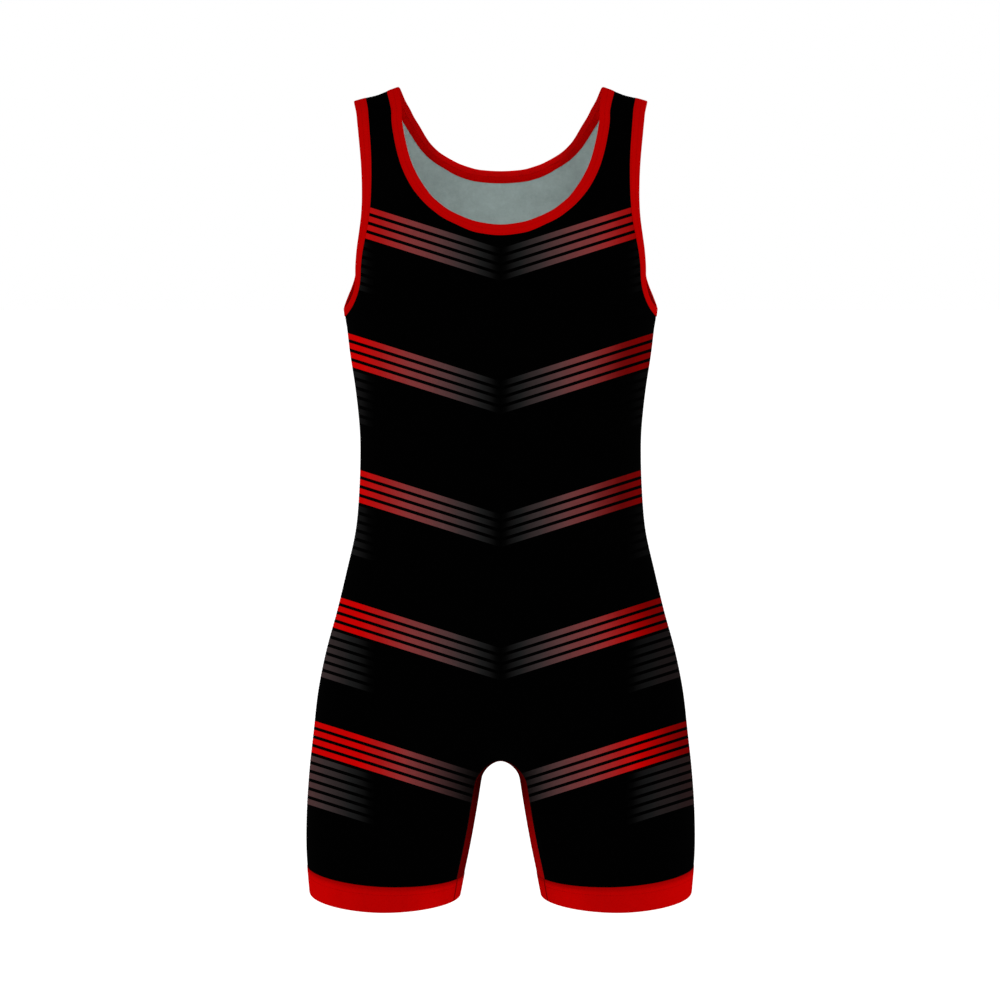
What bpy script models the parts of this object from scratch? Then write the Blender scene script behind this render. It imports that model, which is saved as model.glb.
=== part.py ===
"""Wrestling singlet, worn open and empty: eight sewn pieces of stretch cloth, each a thin shell on one figure.

Sizes are in millimetres until mesh_of() turns them into metres. The front faces -Y, the wearer's left is +X, and
the origin is at the middle of the shoulder line, where the straps hang from the wearer.
"""

import math

import bpy
import numpy as np

FABRIC = 1.2  # wall of a printed panel
ELASTIC = 2.0  # wall of a binding or a cuff, which is folded double
SEAM = 0.3  # clear line between two sewn pieces
BINDING_WIDTH = 12.4
HEM_Z, HEM_TILT = -823.5, 1.3  # the hem at the middle of a leg, and its rise towards the side seam
CUFF_TOP, CUFF_TILT = -797.3, 4.2  # the same for the cuff's upper edge
STRAP_START_X = 103.0  # the shoulder falls away from here
SHOULDER_SLOPE = 0.35

# z, half width at the side seam, depth in front of it, depth behind it, squareness of the section
BODY = (
    (0, 181, 0, 0, 2.3),
    (-5, 180.5, 22, 22, 2.3),
    (-12, 179, 34, 36, 2.3),
    (-22, 177, 45, 49, 2.3),
    (-40, 173, 58, 66, 2.35),
    (-60, 168, 69, 79, 2.4),
    (-100, 159.2, 87, 95, 2.4),
    (-140, 155.6, 99, 103, 2.4),
    (-170, 156.4, 105, 107, 2.4),
    (-200, 157.6, 109, 108, 2.4),
    (-212, 158.3, 110, 107.7, 2.37),
    (-221, 158.2, 111, 107, 2.35),
    (-230, 156.9, 111.5, 106.5, 2.33),
    (-238, 155.3, 112, 105.8, 2.3),
    (-246, 154.3, 112, 105, 2.3),
    (-265, 152.1, 111.5, 102.5, 2.3),
    (-305, 146.2, 108, 96.5, 2.3),
    (-345, 142.3, 103, 90, 2.3),
    (-366, 141.8, 100, 87.5, 2.3),
    (-407, 143.1, 97.5, 86.5, 2.3),
    (-448, 146.9, 97, 89.5, 2.3),
    (-489, 156.1, 98.5, 98, 2.3),
    (-530, 166.1, 100, 109, 2.3),
    (-571, 177.4, 101.5, 118.5, 2.3),
    (-612, 185.8, 101.5, 124, 2.3),
    (-654, 190.8, 99, 122, 2.3),
    (-695, 195.4, 95, 114, 2.3),
    (-737, 198.3, 92, 104, 2.3),
    (-778, 198.8, 90, 94, 2.3),
    (-823, 195.6, 87, 86, 2.3),
)
# z, half of the gap between the legs, depth of a leg in front of the side seam, depth behind it, squareness
LEGS = (
    (-600, 13.4, 100, 124, 2),
    (-650, 16.3, 97, 120.5, 2),
    (-690, 19.5, 94, 114.5, 2),
    (-710, 21.5, 92.5, 110, 2),
    (-723, 23.6, 91.5, 106, 2),
    (-748, 27.7, 90.5, 100, 2),
    (-773, 32.3, 90, 95.5, 1.95),
    (-798, 37.5, 90, 92, 1.9),
    (-823, 42.5, 91, 89, 1.85),
)
LEGS_JOIN, BODY_BEGINS = -707.0, -607.0
ARCH_Z = -706.0  # middle of the round arch between the legs
CROTCH_SOFTNESS = 12.0
STRAP_SAG = 1.3  # the middle of a strap lies lower than its two bindings

# x, z of the folded edge at the neck: front from the centre to the shoulder, then back from the shoulder on
NECK_FRONT = (
    (0, -138.5),
    (20, -136.9),
    (34, -132.4),
    (49.5, -124.8),
    (60.7, -116.7),
    (69, -108.8),
    (80, -93.1),
    (87.7, -77.4),
    (92.5, -61.6),
    (96, -45.6),
    (97.9, -33.5),
    (99, -18),
)
NECK_SHOULDER_X = 100.2
NECK_BACK = (
    (98.4, -8.5),
    (95.6, -14.5),
    (92.4, -20.1),
    (88.6, -27.8),
    (83.7, -35.7),
    (76.7, -47.7),
    (70.6, -55.8),
    (61.3, -64),
    (45.8, -72.1),
    (22, -79.4),
    (0, -81.4),
)
# x, z of the folded edge at the armhole: front from the shoulder to the armpit, then back from the armpit up
ARM_SHOULDER_X = 147.6
ARM_FRONT = (
    (145, -24.1),
    (143.1, -36.6),
    (141.2, -52.9),
    (139.5, -68.9),
    (138.3, -84.7),
    (137.7, -100.4),
    (137.7, -116.1),
    (138.7, -131.8),
    (140.8, -147.6),
    (143, -163.4),
    (144.6, -179.2),
    (145.6, -190),
    (147.6, -200),
    (150.2, -208.5),
    (153.2, -215),
)
ARM_BACK = (
    (154.5, -211.5),
    (152.6, -203),
    (150, -192),
    (147.8, -179),
    (145, -163),
    (142.3, -147),
    (140.6, -131),
    (139.6, -115),
    (139.5, -99),
    (139.9, -83),
    (140.7, -67),
    (141.9, -51),
    (143.5, -36),
    (145.3, -23.5),
)

# y, z of it under the arm
ARMPIT = ((-21, -219.8), (0, -222), (17, -218))

# how finely the shells are laid out
LEG_ROWS, ARCH_ROWS, CROTCH_ROWS, TRUNK_ROWS = 5, 5, 4, 15
FRONT_CHEST_ROWS, FRONT_NECK_ROWS = 4, 12
BACK_CHEST_ROWS, BACK_NECK_ROWS = 6, 10
COLUMNS, GUSSET_COLUMNS, CUFF_COLUMNS = 10, 6, 36
SEAM_ROW = 1.5  # width of the cells along the gusset's seams, so that both sides of a seam face the same way


def smooth(rows, column):
    """A smooth function of the rows' first column."""
    table = np.array(sorted(rows), float)
    at, value = table[:, 0], table[:, column]
    step = np.diff(value) / np.diff(at)
    slope = np.concatenate([step[:1], 0.5 * (step[1:] + step[:-1]), step[-1:]])

    def read(where):
        where = np.clip(where, at[0], at[-1])
        k = np.clip(np.searchsorted(at, where) - 1, 0, len(at) - 2)
        gap = at[k + 1] - at[k]
        t = (where - at[k]) / gap
        return (
            value[k] * (1 + 2 * t) * (1 - t) ** 2
            + value[k + 1] * t * t * (3 - 2 * t)
            + slope[k] * gap * t * (1 - t) ** 2
            + slope[k + 1] * gap * t * t * (t - 1)
        )

    return read


half_width = smooth(BODY, 1)
front_squared = smooth([(row[0], row[2] ** 2) for row in BODY], 1)
back_squared = smooth([(row[0], row[3] ** 2) for row in BODY], 1)
squareness = smooth(BODY, 4)
leg_gap, leg_front, leg_back, leg_squareness = (smooth(LEGS, column) for column in (1, 2, 3, 4))


def outside(points):
    """Below zero inside the figure that the cloth is stretched over, zero on it, above zero off it."""
    x, y, z = np.moveaxis(np.asarray(points, float), -1, 0)
    x = np.abs(x)
    fallen = z + SHOULDER_SLOPE * np.maximum(x - STRAP_START_X, 0) + STRAP_SAG * np.exp(-(((x - 124) / 11) ** 2))
    depth = np.sqrt(np.maximum(np.where(y < 0, front_squared(fallen), back_squared(fallen)), 1e-6))
    wide, power = half_width(z), squareness(z)
    trunk = ((x / wide) ** power + (np.abs(y) / depth) ** power) ** (1 / power) - 1
    inner = np.hypot(leg_gap(z), CROTCH_SOFTNESS)
    outer = np.hypot(wide, CROTCH_SOFTNESS)
    across = (np.hypot(x, CROTCH_SOFTNESS) - 0.5 * (outer + inner)) / (0.5 * (outer - inner))
    power = leg_squareness(z)
    leg = abs(across) ** power + abs(y / np.where(y < 0, leg_front(z), leg_back(z))) ** power - 1
    t = np.clip((z - LEGS_JOIN) / (BODY_BEGINS - LEGS_JOIN), 0, 1)
    blend = t * t * (6 - 8 * t + 3 * t * t)
    return np.where(fallen >= 0, 1.0 + fallen, (1 - blend) * leg + blend * trunk)


def cast(start, heading, reach=240.0):
    """Where rays first cross the figure's surface."""
    start, heading = np.broadcast_arrays(np.asarray(start, float), np.asarray(heading, float))
    heading = heading / np.linalg.norm(heading, axis=-1, keepdims=True)
    side = outside(start) > 0
    walk = np.linspace(0, reach, 81)
    passed = [(outside(start + step * heading) > 0) != side for step in walk]
    first = np.argmax(passed, axis=0)
    near, far = walk[first - 1], walk[first]
    for _ in range(40):
        middle = 0.5 * (near + far)
        same = (outside(start + middle[..., None] * heading) > 0) == side
        near, far = np.where(same, middle, near), np.where(same, far, middle)
    return start + (0.5 * (near + far))[..., None] * heading


def normal(points):
    slope = [outside(points + step) - outside(points - step) for step in 0.05 * np.eye(3)]
    slope = np.stack(slope, axis=-1)
    return slope / np.linalg.norm(slope, axis=-1, keepdims=True)


def lengths(points):
    return np.concatenate([[0], np.cumsum(np.linalg.norm(np.diff(points, axis=0), axis=1))])


def spline(before, points, after, count):
    """A Catmull-Rom line through the points, between two more that only bend its ends, read at even distances."""
    points = np.array(points, float)
    padded = np.concatenate([[before], points, [after]])
    t = np.linspace(0, 1, 17)[:-1, None]
    runs = []
    for a, b, c, d in zip(padded, padded[1:], padded[2:], padded[3:]):
        runs.append(b + 0.5 * t * (c - a + t * (2 * a - 5 * b + 4 * c - d + t * (3 * b - a - 3 * c + d))))
    fine = np.concatenate(runs + [points[-1:]])
    along = lengths(fine)
    even = np.linspace(0, along[-1], count)
    return np.stack([np.interp(even, along, fine[:, axis]) for axis in range(3)], axis=1)


def on_body(x, z, way):
    """The point of the front (way -1) or the back (way 1) with this x and z."""
    return cast([x, 0, z], [0, way, 0])


def ridge(x):
    """The top of the shoulder."""
    return cast([x, 0, -60], [0, 0, 1])


def moved(edge, distance, hub, turn):
    """The edge moved over the surface, square to itself. Its first and last points stay in their own planes."""
    edge = cast(hub, edge - hub)
    along = np.gradient(edge, axis=0)
    for end, nearby in ((0, 1), (-1, -2)):
        flat = edge[nearby] - edge[end]
        keep = {"x": 0, "y": 1}[turn[end]]
        flat[[axis for axis in range(3) if axis != keep]] = 0
        along[end] = flat if end == 0 else -flat
    sideways = np.cross(normal(edge), along)
    sideways /= np.linalg.norm(sideways, axis=1, keepdims=True)
    if np.sum(sideways * (edge - edge.mean(axis=0))) < 0:
        sideways = -sideways
    target = edge + np.reshape(distance, (-1, 1)) * sideways
    return cast(hub, target - hub)


# The neck and the armhole, each in two runs that meet at the shoulder seam
MIRROR = np.array([-1, 1, 1])
neck_line = [on_body(x, z, -1) for x, z in NECK_FRONT]
turn = len(neck_line)
neck_line += [ridge(NECK_SHOULDER_X)] + [on_body(x, z, 1) for x, z in NECK_BACK]
neck_front_edge = spline(
    neck_line[1] * MIRROR, neck_line[: turn + 1], neck_line[turn + 1], FRONT_NECK_ROWS + 1
)
neck_back_edge = spline(
    neck_line[turn - 1], neck_line[turn:], neck_line[-2] * MIRROR, BACK_NECK_ROWS + 1
)[::-1]
arm_line = [ridge(ARM_SHOULDER_X)] + [on_body(x, z, -1) for x, z in ARM_FRONT]
arm_line += [cast([100, y, z], [1, 0, 0]) for y, z in ARMPIT]
turn = len(arm_line) - 2
arm_line += [on_body(x, z, 1) for x, z in ARM_BACK] + [ridge(ARM_SHOULDER_X)]
arm_front_edge = spline(
    arm_line[-2], arm_line[: turn + 1], arm_line[turn + 1], FRONT_CHEST_ROWS + FRONT_NECK_ROWS + 1
)[::-1]
arm_back_edge = spline(
    arm_line[turn - 1], arm_line[turn:], arm_line[1], BACK_CHEST_ROWS + BACK_NECK_ROWS + 1
)

NECK_HUB = np.array([60.0, 0.0, -190.0])
ARM_HUB = np.array([100.0, 0.0, -125.0])


def mesh_of(name, grid, colour, wall, mirrored=False, ring=False, left=True):
    """A shell on a grid of points, which is solid once its wall is given."""
    grid = np.array(grid, float) / 1000.0
    rows, columns = grid.shape[:2]
    if not left:
        grid[..., 0] *= -1
        grid = grid[::-1]
    faces = []
    for row in range(rows - 1):
        for column in range(columns if ring else columns - 1):
            beside = (column + 1) % columns
            faces.append(
                (row * columns + column, row * columns + beside, (row + 1) * columns + beside, (row + 1) * columns + column)
            )
    mesh = bpy.data.meshes.new(name)
    mesh.from_pydata(grid.reshape(-1, 3).tolist(), [], faces)
    mesh.shade_smooth()
    material = bpy.data.materials.new(name)
    material.use_nodes = True
    shader = material.node_tree.nodes["Principled BSDF"]
    shader.inputs["Base Color"].default_value = (*colour, 1.0)
    shader.inputs["Roughness"].default_value = 0.75
    shader.inputs["Metallic"].default_value = 0.0
    mesh.materials.append(material)
    piece = bpy.data.objects.new(name, mesh)
    parts.objects.link(piece)
    if mirrored:
        mirror = piece.modifiers.new("other half", "MIRROR")
        mirror.merge_threshold = 0.00005
    shell = piece.modifiers.new("cloth", "SOLIDIFY")
    shell.thickness = wall / 1000.0
    shell.offset = 0.0
    return piece


def hub_of_leg(z):
    return 0.5 * (leg_gap(z) + half_width(z))


def leg_height(step, outward):
    """The height of a row of the leg where it faces outward (1), forward or back (0) or inward (-1)."""
    low = CUFF_TOP + 0.5 * SEAM + CUFF_TILT * outward
    return low + (ARCH_Z - low) * step / LEG_ROWS


def seam_station(step, y):
    """The inner leg at one depth: first up the leg, then over the arch to the middle."""
    if step <= LEG_ROWS:
        z = leg_height(step, -1)
        for _ in range(3):
            point = cast([0, y, z], [1, 0, 0])
            inward = point[0] - hub_of_leg(z)
            z = leg_height(step, inward / math.hypot(inward, y))
        return cast([0, y, z], [1, 0, 0])
    turn = 0.5 * math.pi * (step - LEG_ROWS) / ARCH_ROWS
    point = cast([0, y, ARCH_Z], [math.cos(turn), 0, math.sin(turn)])
    if step == LEG_ROWS + ARCH_ROWS:
        point[0] = 0.0
    return point


def gusset_half(step):
    """Half of the strip's width, narrower under the crotch."""
    over = max(0.0, (step - LEG_ROWS) / ARCH_ROWS)
    return 34.0 - 12.0 * over * over * (3 - 2 * over)


def even_row(make):
    """Points of make(0...1): one close to the inner end, and then at even distances."""
    fine = np.linspace(0, 1, 41)
    along = lengths(make(fine))
    wanted = np.concatenate([[0], np.linspace(SEAM_ROW, along[-1], COLUMNS + 1)])
    return make(np.interp(wanted, along, fine))


def round_row(inner, outer, hub_x, step):
    """A row round the figure from its inner to its outer end, turning about an upright line at hub_x."""
    first = math.atan2(inner[1], inner[0] - hub_x)
    last = math.atan2(outer[1], outer[0] - hub_x)
    if abs(last - first) > math.pi:
        first -= math.copysign(2 * math.pi, first - last)

    def make(t):
        angle = first + (last - first) * t
        z = inner[2] + (outer[2] - inner[2]) * t * t * (3 - 2 * t)
        if step <= LEG_ROWS:
            z = leg_height(step, np.cos(angle))
        start = np.stack([np.full_like(t, hub_x), 0 * t, z], axis=-1)
        return cast(start, np.stack([np.cos(angle), np.sin(angle), 0 * t], axis=-1))

    return pinned(even_row(make), inner, outer)


def strap_row(inner, outer):
    """A row between the neck and the armhole."""
    low = min(0.5 * (inner[2] + outer[2]), -70.0)
    level = inner[1] if abs(inner[1]) < 1 else 0.0
    hub = np.array([0.5 * (inner[0] + outer[0]), level, low])

    def make(t):
        target = inner + (outer - inner) * t[:, None]
        return cast(hub, target - hub)

    return pinned(even_row(make), inner, outer)


def pinned(row, inner, outer):
    row[0], row[-1] = inner, outer
    return row


def neck_width(way, count):
    """The width of the neck binding from the centre to the shoulder: narrow in front, full above and behind."""
    part = np.linspace(0, 1, count)
    t = np.clip((part - 0.8) / 0.13, 0, 1)
    return 10.7 + 1.7 * t * t * (3 - 2 * t) if way < 0 else 13.0 - 0.6 * part


def panel(way, neck_edge, arm_edge, chest_rows, neck_rows):
    """Half of a body panel, from the hem to the shoulder seam, in front (way -1) or behind (way 1)."""
    side = way * 0.5 * SEAM
    neck = moved(neck_edge, neck_width(way, len(neck_edge)) + SEAM, NECK_HUB, "xy")
    arm = moved(arm_edge, BINDING_WIDTH + SEAM, ARM_HUB, "yy")
    neck[-1] = cast([neck[-1][0], 2 * side, -70.0], [0, 0, 1])
    arm[-1] = cast([arm[-1][0], 2 * side, -70.0], [0, 0, 1])
    arm[0] = cast([100.0, side, arm[0][2]], [1, 0, 0])
    neck[0][0] = 0.0
    rows = []
    seams = LEG_ROWS + ARCH_ROWS
    for step in range(seams + 1):
        inner = seam_station(step, way * (gusset_half(step) + 0.5 * SEAM))
        over = max(0.0, (step - LEG_ROWS) / ARCH_ROWS)
        z = leg_height(step, 1) if step <= LEG_ROWS else ARCH_Z + over * (-662.0 - ARCH_Z)
        outer = cast([120.0, side, z], [1, 0, 0])
        rows.append(round_row(inner, outer, hub_of_leg(inner[2] if step <= LEG_ROWS else z) * (1 - 0.45 * over), step))
    low = rows[-1][0]
    dip = math.atan2(-620.0 - low[2], abs(low[1]))
    for step in range(1, CROTCH_ROWS + 1):
        turn = dip * (1 - step / CROTCH_ROWS)
        inner = cast([0, 0, -620.0], [0, way * math.cos(turn), -math.sin(turn)])
        z = -662.0 + 42.0 * step / CROTCH_ROWS
        outer = cast([120.0, side, z], [1, 0, 0])
        rows.append(round_row(inner, outer, 65.0 * (1 - step / CROTCH_ROWS), seams + step))
    for step in range(1, TRUNK_ROWS + 1):
        z = -620.0 + (arm[0][2] + 620.0) * step / TRUNK_ROWS
        outer = arm[0] if step == TRUNK_ROWS else cast([100.0, side, z], [1, 0, 0])
        rows.append(round_row(cast([0, 0, z], [0, way, 0]), outer, 0.0, seams + CROTCH_ROWS + step))
    start = rows[-1][0][2]
    for step in range(1, chest_rows):
        z = start + (neck[0][2] - start) * step / chest_rows
        inner = cast([0, 0, z], [0, way, 0])
        rows.append(strap_row(inner, arm[step]))
    for step in range(neck_rows + 1):
        rows.append(strap_row(neck[step], arm[chest_rows + step]))
    grid = np.array(rows)
    return grid[:, ::-1] if way > 0 else grid


def band(edge, width, hub, turn):
    """A binding from its folded edge to its seam."""
    return np.stack([moved(edge, width * part, hub, turn) for part in (0.0, 0.5, 1.0)], axis=1)


for leftover in list(bpy.data.objects):
    bpy.data.objects.remove(leftover)
parts = bpy.data.collections.new("wrestling_singlet")
bpy.context.scene.collection.children.link(parts)

BLACK, RED, DARK_RED = (0.006, 0.006, 0.006), (0.45, 0.003, 0.003), (0.33, 0.002, 0.003)

mesh_of(
    "front_panel",
    panel(-1, neck_front_edge, arm_front_edge, FRONT_CHEST_ROWS, FRONT_NECK_ROWS),
    BLACK,
    FABRIC,
    mirrored=True,
)
mesh_of(
    "back_panel",
    panel(1, neck_back_edge, arm_back_edge, BACK_CHEST_ROWS, BACK_NECK_ROWS),
    BLACK,
    FABRIC,
    mirrored=True,
)

strip = []
for step in range(LEG_ROWS + ARCH_ROWS + 1):
    reach = gusset_half(step) - 0.5 * SEAM
    inside = np.linspace(SEAM_ROW - reach, reach - SEAM_ROW, GUSSET_COLUMNS - 1)
    strip.append([seam_station(step, y) for y in (-reach, *inside, reach)])
mesh_of("inseam_gusset", strip, DARK_RED, FABRIC, mirrored=True)

neck_front_band = band(neck_front_edge, neck_width(-1, FRONT_NECK_ROWS + 1), NECK_HUB, "xy")
neck_back_band = band(neck_back_edge, neck_width(1, BACK_NECK_ROWS + 1), NECK_HUB, "xy")
neck_loop = np.concatenate([neck_front_band, neck_back_band[-2::-1]])
neck_loop[0, :, 0] = neck_loop[-1, :, 0] = 0.0
mesh_of("neck_binding", neck_loop, RED, ELASTIC, mirrored=True)

arm_front_band = band(arm_front_edge, BINDING_WIDTH, ARM_HUB, "yy")
arm_back_band = band(arm_back_edge, BINDING_WIDTH, ARM_HUB, "yy")
arm_ring = np.concatenate([arm_front_band, arm_back_band[-2:0:-1]])
for side_name, is_left in (("left", True), ("right", False)):
    grid = arm_ring.transpose(1, 0, 2)
    mesh_of("armhole_binding_" + side_name, grid, RED, ELASTIC, ring=True, left=is_left)

cuff = []
for part in (0.0, 0.5, 1.0):
    angle = np.linspace(0, 2 * math.pi, CUFF_COLUMNS, endpoint=False)
    heading = np.stack([np.cos(angle), np.sin(angle), 0 * angle], axis=1)
    z = HEM_Z + part * (CUFF_TOP - 0.5 * SEAM - HEM_Z) + (HEM_TILT + part * (CUFF_TILT - HEM_TILT)) * np.cos(angle)
    cuff.append(cast(np.stack([hub_of_leg(z), 0 * z, z], axis=1), heading))
for side_name, is_left in (("left", True), ("right", False)):
    mesh_of("leg_cuff_" + side_name, cuff, RED, ELASTIC, ring=True, left=is_left)
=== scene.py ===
"""A wrestling singlet, filled out as on a wearer and empty: printed stretch knit, bound and cuffed in red.

Lengths are millimetres until a mesh is made, and metres in the materials. The front faces -Y, the wearer's
left is +X, and the origin is at the middle of the shoulder line.
"""

import math

import bpy
import numpy as np
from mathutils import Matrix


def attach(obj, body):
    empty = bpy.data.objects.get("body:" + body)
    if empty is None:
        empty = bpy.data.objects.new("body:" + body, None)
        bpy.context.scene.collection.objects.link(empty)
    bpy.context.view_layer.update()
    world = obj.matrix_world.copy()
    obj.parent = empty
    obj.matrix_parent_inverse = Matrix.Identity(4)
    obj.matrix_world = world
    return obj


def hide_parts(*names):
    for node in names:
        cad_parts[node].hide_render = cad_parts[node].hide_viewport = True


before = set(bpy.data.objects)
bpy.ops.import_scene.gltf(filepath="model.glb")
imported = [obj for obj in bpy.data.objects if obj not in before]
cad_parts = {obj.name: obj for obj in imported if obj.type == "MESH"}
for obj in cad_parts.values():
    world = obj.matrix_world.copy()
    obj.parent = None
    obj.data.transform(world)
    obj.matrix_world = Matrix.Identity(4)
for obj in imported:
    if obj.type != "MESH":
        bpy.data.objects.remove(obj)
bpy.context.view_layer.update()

# ---- View ----
# The singlet is seen from the front, a little from above its middle, from three metres away.

VIEW_DISTANCE, VIEW_HEIGHT, VIEW_TILT = 3000.0, -163.5, math.radians(4.83)

view_lens = bpy.data.cameras.new("view")
view_lens.lens, view_lens.sensor_width = 106.45, 36.0
view_lens.shift_x = -0.00065
view = bpy.data.objects.new("view", view_lens)
view.location = (0.0, -VIEW_DISTANCE / 1000, VIEW_HEIGHT / 1000)
view.rotation_euler = (math.radians(90) - VIEW_TILT, 0.0, 0.0)
bpy.context.scene.collection.objects.link(view)
bpy.context.scene.camera = view

# ---- Front panel ----
# The front of the body and of both legs, cut in one from stretch knit and printed before sewing. It runs
# from the cuffs to the shoulder seams, and its edges lie inside the bindings and the cuffs.

FACE, THICKNESS = 0.6, 0.8  # the printed face above the middle of the wall, and the cloth's own thickness
SEAM = 0.08  # two sewn edges lie this close
BINDING_WIDTH = 12.4
TUCKED = 2.5  # how far a panel's edge goes into a binding or a cuff
HEM_Z, HEM_TILT = -823.5, 1.3  # the hem at the middle of a leg, and its rise towards the side seam
CUFF_TOP, CUFF_TILT = -797.3, 4.2  # the same for the cuff's upper edge
STRAP_START_X, SHOULDER_SLOPE = 100.6, 0.315

# z, half width at the side seam, depth in front of it, depth behind it, squareness of the section
BODY = (
    (0, 181, 0, 0, 2.3),
    (-5, 180.5, 22, 22, 2.3),
    (-12, 179, 34, 36, 2.3),
    (-22, 177, 45, 49, 2.3),
    (-40, 173, 58, 66, 2.35),
    (-60, 168, 69, 79, 2.4),
    (-100, 159.2, 87, 95, 2.4),
    (-140, 155.6, 99, 103, 2.4),
    (-170, 156.4, 105, 107, 2.4),
    (-200, 157.6, 109, 108, 2.4),
    (-212, 157.9, 110, 107.7, 2.37),
    (-221, 157.8, 111, 107, 2.35),
    (-230, 156.9, 111.5, 106.5, 2.33),
    (-238, 155.3, 112, 105.8, 2.3),
    (-246, 154.3, 112, 105, 2.3),
    (-265, 152.1, 111.5, 102.5, 2.3),
    (-305, 146.2, 108, 96.5, 2.3),
    (-345, 142.3, 103, 90, 2.3),
    (-366, 141.8, 100, 87.5, 2.3),
    (-407, 143.1, 97.5, 86.5, 2.3),
    (-448, 146.9, 97, 89.5, 2.3),
    (-489, 156.1, 98.5, 98, 2.3),
    (-530, 166.1, 100, 109, 2.3),
    (-571, 177.4, 101.5, 118.5, 2.3),
    (-612, 185.8, 101.5, 124, 2.3),
    (-654, 190.8, 99, 122, 2.3),
    (-695, 195.4, 95, 114, 2.3),
    (-737, 198.3, 92, 104, 2.3),
    (-778, 198.8, 90, 94, 2.3),
    (-823, 195.6, 87, 86, 2.3),
)
# z, half of the gap between the legs, depth of a leg in front of the side seam, depth behind it, squareness
LEGS = (
    (-600, 13.4, 100, 124, 2),
    (-650, 13, 97, 120.5, 2),
    (-690, 17.7, 94, 114.5, 2),
    (-710, 21.1, 92.5, 110, 2),
    (-723, 23.1, 91.5, 106, 2),
    (-748, 27.3, 90.5, 100, 2),
    (-773, 31.9, 90, 95.5, 1.95),
    (-798, 37.1, 90, 92, 1.9),
    (-823, 42, 91, 89, 1.85),
)
LEGS_JOIN, BODY_BEGINS = -702.3, -613.3
ARCH_Z, CROTCH_SOFTNESS = -706.0, 12.0
STRAP_SAG, STRAP_MIDDLE_X, SAG_REACH = 1.3, 124, 11  # the middle of a strap lies lower than its two bindings
GUSSET_AT_CUFF, GUSSET_AT_CROTCH = 34.0, 22.0  # half of the inseam gusset's width
ROLL_DEPTH, ROLL_REACH = 0.28, 1.1  # how a sewn edge turns in

# x, z of the folded edge at the neck: front from the centre to the shoulder, then back from the shoulder on
NECK_FRONT = (
    (0, -138.5),
    (20, -136.2),
    (34, -131.9),
    (49.5, -124.8),
    (60.7, -116.7),
    (69, -108.8),
    (80, -93.1),
    (87.7, -77.4),
    (92.5, -61.6),
    (96, -45.6),
    (97.9, -33.5),
    (99, -18),
)
NECK_SHOULDER_X = 101.9
NECK_BACK = (
    (98.4, -8.5),
    (95.6, -14.5),
    (92.4, -20.1),
    (88.6, -27.8),
    (83.7, -35.7),
    (76.7, -47.7),
    (70.6, -55.8),
    (61.3, -64),
    (45.8, -72.8),
    (33.5, -77.4),
    (21, -80.4),
    (0, -81.7),
)
# x, z of the folded edge at the armhole: front from the shoulder to the armpit, then back from the armpit up
ARM_SHOULDER_X = 147.6
ARM_FRONT = (
    (145, -24.1),
    (143.1, -36.6),
    (141.2, -52.9),
    (139.5, -68.9),
    (138.3, -84.7),
    (137.7, -100.4),
    (137.7, -116.1),
    (138.7, -131.8),
    (140.8, -147.6),
    (143, -163.4),
    (144.2, -179.2),
    (144.2, -190),
    (144.6, -197),
    (145.8, -203),
    (147.6, -208.5),
    (150.4, -214),
    (154.2, -219),
)
ARM_BACK = (
    (156.5, -213.9),
    (155, -209),
    (152.7, -202.7),
    (150.7, -196.5),
    (149, -189.5),
    (147.7, -179),
    (145, -163),
    (142.3, -147),
    (140.6, -131),
    (139.6, -115),
    (139.5, -99),
    (139.9, -83),
    (140.7, -67),
    (141.9, -51),
    (143.5, -36),
    (145.3, -23.5),
)
ARMPIT = ((-15, -221), (0, -220.6), (11.5, -217.9))  # y, z of it under the arm
NECK_HUB, ARM_HUB = np.array([60.0, 0.0, -190.0]), np.array([100.0, 0.0, -125.0])


def smooth(rows, column):
    """A smooth function of the rows' first column."""
    table = np.array(sorted(rows), float)
    at, value = table[:, 0], table[:, column]
    step = np.diff(value) / np.diff(at)
    slope = np.concatenate([step[:1], 0.5 * (step[1:] + step[:-1]), step[-1:]])

    def read(where):
        where = np.clip(where, at[0], at[-1])
        k = np.clip(np.searchsorted(at, where) - 1, 0, len(at) - 2)
        gap = at[k + 1] - at[k]
        t = (where - at[k]) / gap
        return (
            value[k] * (1 + 2 * t) * (1 - t) ** 2
            + value[k + 1] * t * t * (3 - 2 * t)
            + slope[k] * gap * t * (1 - t) ** 2
            + slope[k + 1] * gap * t * t * (t - 1)
        )

    return read


half_width = smooth(BODY, 1)
front_squared = smooth([(row[0], row[2] ** 2) for row in BODY], 1)
back_squared = smooth([(row[0], row[3] ** 2) for row in BODY], 1)
squareness = smooth(BODY, 4)
leg_gap, leg_front, leg_back, leg_squareness = (smooth(LEGS, column) for column in (1, 2, 3, 4))


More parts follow.
